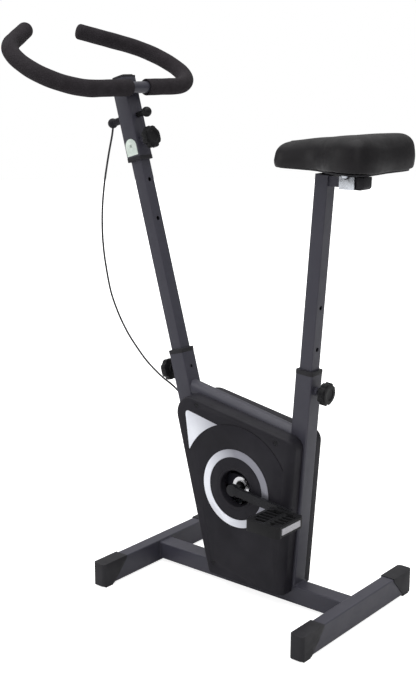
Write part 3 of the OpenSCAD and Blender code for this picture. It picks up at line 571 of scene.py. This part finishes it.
def saddle():
    """The pad: vinyl drawn over foam, with a rolled lower rim over its base board and a rounded crown."""
    low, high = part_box("saddle_pad")
    long, base, sides = high.x - low.x, low.z, 176
    middle = Vector((high.x - 0.55 * long, 0))
    foot = {(round(v.co.x, 5), round(v.co.y, 5))
            for v in NODES["saddle_pad"].data.vertices if v.co.z < base + 1e-5}
    plan = sorted((Vector(p) for p in foot), key=lambda p: math.atan2(p.y, p.x - middle.x) % (2 * math.pi))
    centre = (low.x + high.x) / 2
    plan = even([Vector((centre + (p.x - centre) * CUSHION_SHARE, p.y)) for p in plan], sides)
    for _ in range(6):
        plan = [plan[i] * 0.5 + (plan[i - 1] + plan[(i + 1) % sides]) * 0.25 for i in range(sides)]
    plan = shrink(plan, 1.6 * MM, sides)

    def top(x):
        share = min(1.0, max(0.0, (high.x - x) / long))
        for (a, h), (b, g) in zip(SADDLE_TOP, SADDLE_TOP[1:]):
            if share <= b:
                t = (share - a) / (b - a)
                return base + (h + (g - h) * (t * t * (3 - 2 * t) * 0.5 + t * 0.5)) * MM
        return base + SADDLE_TOP[-1][1] * MM

    def lift(x, y):
        """How far the lower rim rises behind the nose and again at the widest part."""
        return (REAR_LIFT * ease((high.x - x) / long, 0.05, 0.45) + SIDE_LIFT * ease(abs(y), 0.055, 0.1)) * MM

    def ring(line, height):
        return [Vector((p.x, p.y, height(p.x))) for p in line]

    def low_ring(line, height):
        return [Vector((p.x, p.y, base + height * MM + lift(p.x, p.y))) for p in line]

    spine = [Vector((min(max(p.x, low.x + 72 * MM), high.x - 42 * MM), 0)) for p in plan]

    def crown(line, share, height):
        return [Vector((*m.lerp(p, share), height(p.x * share + m.x * (1 - share))))
                for p, m in zip(line, spine)]

    under = shrink(plan, 5.2 * MM, sides)
    rings = [crown(under, s, lambda x: base + 1.0 * MM + lift(x, 0)) for s in (0.0, 0.35, 0.7, 0.96)]
    roll = (5.2, -0.6), (4.2, 0.5 - RIM), (2.6, -RIM), (1.0, 0.9 - RIM), (0.2, 2.6 - RIM)
    rings += [low_ring(shrink(plan, d * MM, sides), h) for d, h in roll]
    walls = 9
    for k in range(1, walls + 1):
        u = k / walls
        bulge = 1.7 * MM * math.sin(math.pi * u)
        around = shrink(plan, -bulge, sides) if bulge > 1e-5 else plan
        rings.append([Vector((p.x, p.y, base + lift(p.x, p.y) * (1 - u) + (top(p.x) - EDGE_R - base) * u))
                      for p in around])
    line, reached = plan, 0.0
    for k in range(1, 11):
        a = math.pi / 2 * k / 10
        line = shrink(line, EDGE_R * (1 - math.cos(a)) - reached, sides)
        reached = EDGE_R * (1 - math.cos(a))
        rings.append(ring(line, lambda x, a=a: top(x) - EDGE_R * (1 - math.sin(a))))
    for s in (0.86, 0.7, 0.5, 0.25, 0.0):
        rings.append(crown(line, s, lambda x, s=s: top(x) + 1.5 * MM * (1 - s * s)))
    obj = new_mesh("saddle_cushion", *skin(rings, ends=False))
    modifier(obj, "WELD", merge_threshold=2e-5)
    modifier(obj, "SMOOTH", factor=0.5, iterations=2)
    apply_modifiers(obj)
    cloth_puff(obj, 1.2, 1.2 * MM)
    modifier(obj, "SMOOTH", factor=0.5, iterations=3)
    modifier(obj, "SUBSURF", levels=1, render_levels=1)
    apply_modifiers(obj)
    obj.data.shade_smooth()
    place(obj, "saddle_vinyl", BODY["saddle_pad"], "saddle_pad")


# ---------- covers ----------
FLANK, FRONT_ROUND, REAR_ROUND, WALL = 12 * MM, 42 * MM, 24 * MM, 2.4 * MM
OPENING_R = 42 * MM                   # where the crank comes through
RING_OUT, RING_IN = 86.4 * MM, 68.6 * MM
GROOVE_OUT, GROOVE_IN = 140.5 * MM, 138.3 * MM
GROOVE_FIRST, GROOVE_LAST = 74, 152   # degrees from straight ahead, towards the top
SCREW_WELL_R = 5.5 * MM
PROUD = 1 * MM                        # a cutter starts this far outside the face


def side_lines(node):
    """The four long edges of a cover at its parting line, from the bottom one on, and that line's Y.

    Each edge is a point, a direction and an outward normal in X and Z.
    """
    co = [v.co for v in NODES[node].data.vertices]
    edge = min(abs(p.y) for p in co)
    flat = [Vector((p.x, p.z)) for p in co if abs(abs(p.y) - edge) < 1e-5]
    hull = [flat[i] for i in convex_hull_2d(flat)]
    middle = sum(hull, Vector((0, 0))) / len(hull)
    spans = sorted(zip(hull, hull[1:] + hull[:1]), key=lambda s: -(s[1] - s[0]).length)[:4]
    lines = []
    for a, b in spans:
        d = (b - a).normalized()
        n = Vector((d.y, -d.x))
        lines.append((a, d, n if n.dot(a - middle) > 0 else -n))
    return sorted(lines, key=lambda s: (math.atan2(s[2].y, s[2].x) + 2) % (2 * math.pi)), edge


def cross(a, b, in_a, in_b):
    """Where two lines meet after moving inwards."""
    p, q = a[0] - a[2] * in_a, b[0] - b[2] * in_b
    det = a[1].x * b[1].y - a[1].y * b[1].x
    t = ((q - p).x * b[1].y - (q - p).y * b[1].x) / det
    return p + a[1] * t


def outline(lines, e, wall=0.0):
    """The cover's outline moved in: the front edge by e, the others by their own share of it."""
    bottom, front, top, rear = lines
    sizes = e / 7 + wall, e + wall, e * 0.4 + wall, e * 1.6 + wall
    corners = [(cross(bottom, front, sizes[0], sizes[1]), 3 * MM),
               (cross(front, top, sizes[1], sizes[2]), FRONT_ROUND - (e + wall) * 0.9),
               (cross(top, rear, sizes[2], sizes[3]), REAR_ROUND - e * 0.9),
               (cross(rear, bottom, sizes[3], sizes[0]), 3 * MM)]
    found = []
    for i, (c, r) in enumerate(corners):
        a = (corners[i - 1][0] - c).normalized()
        b = (corners[(i + 1) % 4][0] - c).normalized()
        half = a.angle(b) / 2
        m = c + (a + b).normalized() * r / math.sin(half)
        p, q = c + a * r / math.tan(half) - m, c + b * r / math.tan(half) - m
        start = math.atan2(p.y, p.x)
        turn = (math.atan2(q.y, q.x) - start + math.pi) % (2 * math.pi) - math.pi
        found += [m + Vector((math.cos(t), math.sin(t))) * r
                  for t in (start + turn * k / 10 for k in range(11))]
    return found


def disc(side, centre, y0, y1, r, n=96):
    """A cylinder across the bike, its axis along Y."""
    return skin([[Vector((centre.x + r * math.cos(t), side * y, centre.z + r * math.sin(t)))
                  for t in turns(n)] for y in (y0, y1)])


def washer(side, centre, y0, y1, r_out, r_in, first=0.0, last=360.0, n=96):
    """A square-section ring, or a stretch of one, about an axis along Y."""
    whole = last - first >= 360
    angles = [math.radians(first + (last - first) * i / n) for i in range(n if whole else n + 1)]
    section = [(r_in, y0), (r_out, y0), (r_out, y1), (r_in, y1)]
    rings = [[Vector((centre.x + r * math.cos(t), side * y, centre.z + r * math.sin(t)))
              for r, y in section] for t in angles]
    if whole:
        return skin(rings + [rings[0]], ends=False)
    return skin(rings)


def cut(obj, points, faces):
    """Takes the shape out of the piece."""
    tool = new_mesh("cutter", points, faces, smooth=False)
    bm = bmesh.new()
    bm.from_mesh(tool.data)
    bmesh.ops.remove_doubles(bm, verts=bm.verts, dist=1e-7)
    bmesh.ops.recalc_face_normals(bm, faces=bm.faces)
    bm.to_mesh(tool.data)
    bm.free()
    modifier(obj, "BOOLEAN", operation="DIFFERENCE", object=tool, solver="EXACT")
    apply_modifiers(obj)
    bpy.data.objects.remove(tool)


def cover(side):
    """One shell: rounded flank, round opening with a lip, recessed ring, screw wells and a groove's arc."""
    name = "left_cover" if side > 0 else "right_cover"
    lines, inner = side_lines(name)
    low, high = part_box(name)
    face = max(abs(low.y), abs(high.y))
    flank = [(FLANK * math.sin(t), 11 * MM * (1 - math.cos(t)))
             for t in (math.pi / 2 * k / 9 for k in range(10))]
    base = face - FLANK
    outer = [(inner, 0.0), (base * 0.5 + inner * 0.5, 0.0)] + [(base + y, e) for y, e in flank]
    inside = [(y - (WALL if y > inner + 1e-6 else 0), e) for y, e in outer]
    rings = [[Vector((p.x, side * y, p.y)) for p in outline(lines, e, WALL)] for y, e in reversed(inside)]
    rings += [[Vector((p.x, side * y, p.y)) for p in outline(lines, e)] for y, e in outer]
    obj = new_mesh(name + "_shell", *skin(rings))
    cut(obj, *disc(side, CRANK, face - 0.02, face + 0.02, OPENING_R))
    cut(obj, *washer(side, CRANK, face - 1.0 * MM, face + PROUD, RING_OUT, RING_IN))
    cut(obj, *washer(side, CRANK, face - 1.2 * MM, face + PROUD, GROOVE_OUT, GROOVE_IN,
                     GROOVE_FIRST, GROOVE_LAST, 40))
    for p in islands("cover_screws"):
        if p.y * side > 0:
            cut(obj, *disc(side, p, face - 1.6 * MM, face + PROUD, SCREW_WELL_R, 32))
    modifier(obj, "BEVEL", width=0.5 * MM, segments=2, limit_method="ANGLE", angle_limit=math.radians(40))
    apply_modifiers(obj)
    obj.data.shade_smooth()
    smooth_by_angle(obj)
    place(obj, "cover_plastic", BODY[name], name)
    depth = 18 * MM if side > 0 else 4 * MM
    lip = [(42.6, -depth), (42.6, -2 * MM), (45.6, 0.0), (44.9, 0.9 * MM), (43.2, 1.2 * MM), (41.4, 0.9 * MM),
           (40.3, 0.0), (40, -2 * MM), (40, -depth)]
    n = 96
    rings = [[Vector((CRANK.x + r * MM * math.cos(t), side * (face + y), CRANK.z + r * MM * math.sin(t)))
              for r, y in lip] for t in (2 * math.pi * i / n for i in range(n + 1))]
    collar = new_mesh(name + "_opening_lip", *skin(rings, ends=False))
    modifier(collar, "WELD", merge_threshold=1e-6)
    apply_modifiers(collar)
    collar.data.shade_smooth()
    smooth_by_angle(collar)
    place(collar, "cover_plastic", BODY[name])


# ---------- tension cable ----------
CABLE_R = 2.2 * MM
CABLE_ROUTE = [(353, 988), (357, 966), (367, 930), (377, 889), (385, 850), (391, 806), (393, 762),
               (391, 718), (384, 672), (370, 614), (348, 567), (322, 528), (293, 496), (260, 466),
               (220, 440), (188, 425), (166, 412), (150, 402), (136, 389), (126, 364), (112, 316),
               (98, 264), (87, 236), (72, 221), (56, 213), (42, 207), (31, 204)]


def cable():
    """The sheath along the design's route, bending between the frame and the stem that carries its top."""
    route, per, sides = [row(x, z) for x, z in CABLE_ROUTE], 6, 16
    line, last = [], len(route) - 1
    for i in range(last):
        a, b, c, d = (route[max(0, min(last, i + k))] for k in (-1, 0, 1, 2))
        line += [spline(a, b, c, d, k / per) for k in range(per)]
    line.append(route[-1])
    rings = []
    for i, p in enumerate(line):
        d = (line[min(i + 1, len(line) - 1)] - line[max(i - 1, 0)]).normalized()
        across = Vector((-d.z, 0, d.x))
        rings.append([p + (across * math.cos(t) + Vector((0, 1, 0)) * math.sin(t)) * CABLE_R
                      for t in turns(sides)])
    obj = new_mesh("tension_cable_sheath", *skin(rings))
    place(obj, "cable_rubber", None, "tension_cable")
    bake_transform(obj)


# ---------- weld beads ----------
def bead(name, corners, radius=1.9 * MM, closed=True):
    """A rippled weld bead through corner points."""
    step, line = 1.3 * MM, []
    ends = corners[1:] + corners[:1] if closed else corners[1:]
    for a, b in zip(corners, ends):
        n = max(1, round((b - a).length / step))
        line += [a.lerp(b, i / n) for i in range(n)]
    if not closed:
        line.append(corners[-1])
    rings, sides, count = [], 10, len(line)
    for i, p in enumerate(line):
        after = line[(i + 1) % count] if closed else line[min(i + 1, count - 1)]
        before = line[i - 1] if closed else line[max(i - 1, 0)]
        d = (after - before).normalized()
        side = d.orthogonal().normalized()
        other = d.cross(side)
        r = radius * (0.86 + 0.14 * math.sin(i * 1.9))
        rings.append([p + (side * math.cos(t) + other * math.sin(t)) * r for t in turns(sides)])
    obj = new_mesh(name, *(skin(rings + [rings[0]], ends=False) if closed else skin(rings)))
    return place(obj, "frame_paint", "frame")


def welds():
    """Beads round the feet of the two tubes, and where the rail meets each stabilizer."""
    low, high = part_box("base_rail")
    top, half = high.z, high.y
    for name, node in (("weld_front_tube", "front_tube"), ("weld_seat_tube", "seat_tube")):
        co = [v.co for v in NODES[node].data.vertices if v.co.z < top + 0.5 * MM]
        x0, x1 = min(p.x for p in co), max(p.x for p in co)
        y = half - 0.4 * MM
        bead(name, [Vector((x0, -y, top)), Vector((x1, -y, top)), Vector((x1, y, top)), Vector((x0, y, top))])
    for name, x in (("weld_front_foot", high.x), ("weld_rear_foot", low.x)):
        foot = low.z + 3 * MM
        bead(name, [Vector((x, -half, foot)), Vector((x, -half, top)), Vector((x, half, top)),
                    Vector((x, half, foot))], 1.5 * MM, closed=False)


# ---------- studio ----------
CAMERA_AT = (-1.57552, 1.92017, 1.13162)
CAMERA_TURN = (math.radians(90 - 13.58), 0, math.radians(219.15))
LENS = 61.87                          # millimetres
WALL_LIGHT, CEILING_LIGHT, FLOOR_GLOW = 0.10, 1.0, 0.85
SKY_ENERGY, SKY_ANGLE, SKY_TURN = 2.1, math.radians(80), (math.radians(-10), math.radians(6), 0)
SOFTBOX_SIZE, SOFTBOX_ENERGY = 1.2, 7
FLOOR_R, FLOOR_SIDES = 9.0, 64


def softbox(name, at):
    """A round soft light aimed at the bike's middle."""
    light = bpy.data.lights.new(name, "AREA")
    light.shape, light.size, light.energy = "DISK", SOFTBOX_SIZE, SOFTBOX_ENERGY
    obj = bpy.data.objects.new(name, light)
    bpy.context.scene.collection.objects.link(obj)
    obj.location = at
    obj.rotation_euler = (Vector((0, 0, 0.55)) - Vector(at)).to_track_quat("-Z", "Y").to_euler()


def surroundings(scene):
    """A white studio, brighter overhead than at the sides, that the camera itself sees as plain white."""
    world = scene.world or bpy.data.worlds.new("studio")
    scene.world = world
    world.use_nodes = True
    tree = world.node_tree
    background = next(n for n in tree.nodes if n.type == "BACKGROUND")
    up = tree.nodes.new("ShaderNodeSeparateXYZ")
    tree.links.new(tree.nodes.new("ShaderNodeTexCoord").outputs["Generated"], up.inputs[0])
    bright = tree.nodes.new("ShaderNodeMapRange")
    for key, v in (("From Min", -0.1), ("From Max", 1), ("To Min", WALL_LIGHT), ("To Max", CEILING_LIGHT)):
        bright.inputs[key].default_value = v
    tree.links.new(up.outputs["Z"], bright.inputs["Value"])
    behind = tree.nodes.new("ShaderNodeMix")
    behind.inputs["B"].default_value = 1.0
    tree.links.new(tree.nodes.new("ShaderNodeLightPath").outputs["Is Camera Ray"], behind.inputs["Factor"])
    tree.links.new(bright.outputs["Result"], behind.inputs["A"])
    tree.links.new(behind.outputs["Result"], background.inputs["Strength"])
    background.inputs["Color"].default_value = (1, 1, 1, 1)


def floor():
    """A plain pale disc, with a glow that only the camera sees, which fades the contact shadows."""
    rim = [Vector((FLOOR_R * math.cos(t), FLOOR_R * math.sin(t), 0)) for t in turns(FLOOR_SIDES)]
    obj = new_mesh("floor", rim, [tuple(range(FLOOR_SIDES))], smooth=False)
    s = Shader("floor_white", (0.66, 0.66, 0.665), 0.8)
    s.vary_color(s.noise(0.8, 2), (0.68, 0.68, 0.68))
    glow = s.node("ShaderNodeMath", operation="MULTIPLY")
    glow.inputs[1].default_value = FLOOR_GLOW
    s.link(s.node("ShaderNodeLightPath").outputs["Is Camera Ray"], glow.inputs[0])
    s.set("Emission Color", (1, 1, 1, 1))
    s.link(glow.outputs[0], s.bsdf.inputs["Emission Strength"])
    obj.data.materials.append(s.mat)


def lights(scene):
    sky = bpy.data.lights.new("top", "SUN")
    sky.energy, sky.angle = SKY_ENERGY, SKY_ANGLE
    above = bpy.data.objects.new("top", sky)
    scene.collection.objects.link(above)
    above.rotation_euler = SKY_TURN
    softbox("left", (-1.0, 2.8, 1.6))
    softbox("front", (2.6, 1.4, 1.2))


def camera(scene):
    lens = bpy.data.cameras.new("camera")
    lens.lens = LENS
    lens.clip_end = 60
    obj = bpy.data.objects.new("camera", lens)
    obj.location, obj.rotation_euler = CAMERA_AT, CAMERA_TURN
    scene.collection.objects.link(obj)
    scene.camera = obj


def studio():
    scene = bpy.context.scene
    scene.view_settings.view_transform = "Standard"
    surroundings(scene)
    floor()
    lights(scene)
    camera(scene)


studio()
finish_nodes()
for side in (1, -1):
    grip(side)
    cover(side)
saddle()
cable()
welds()
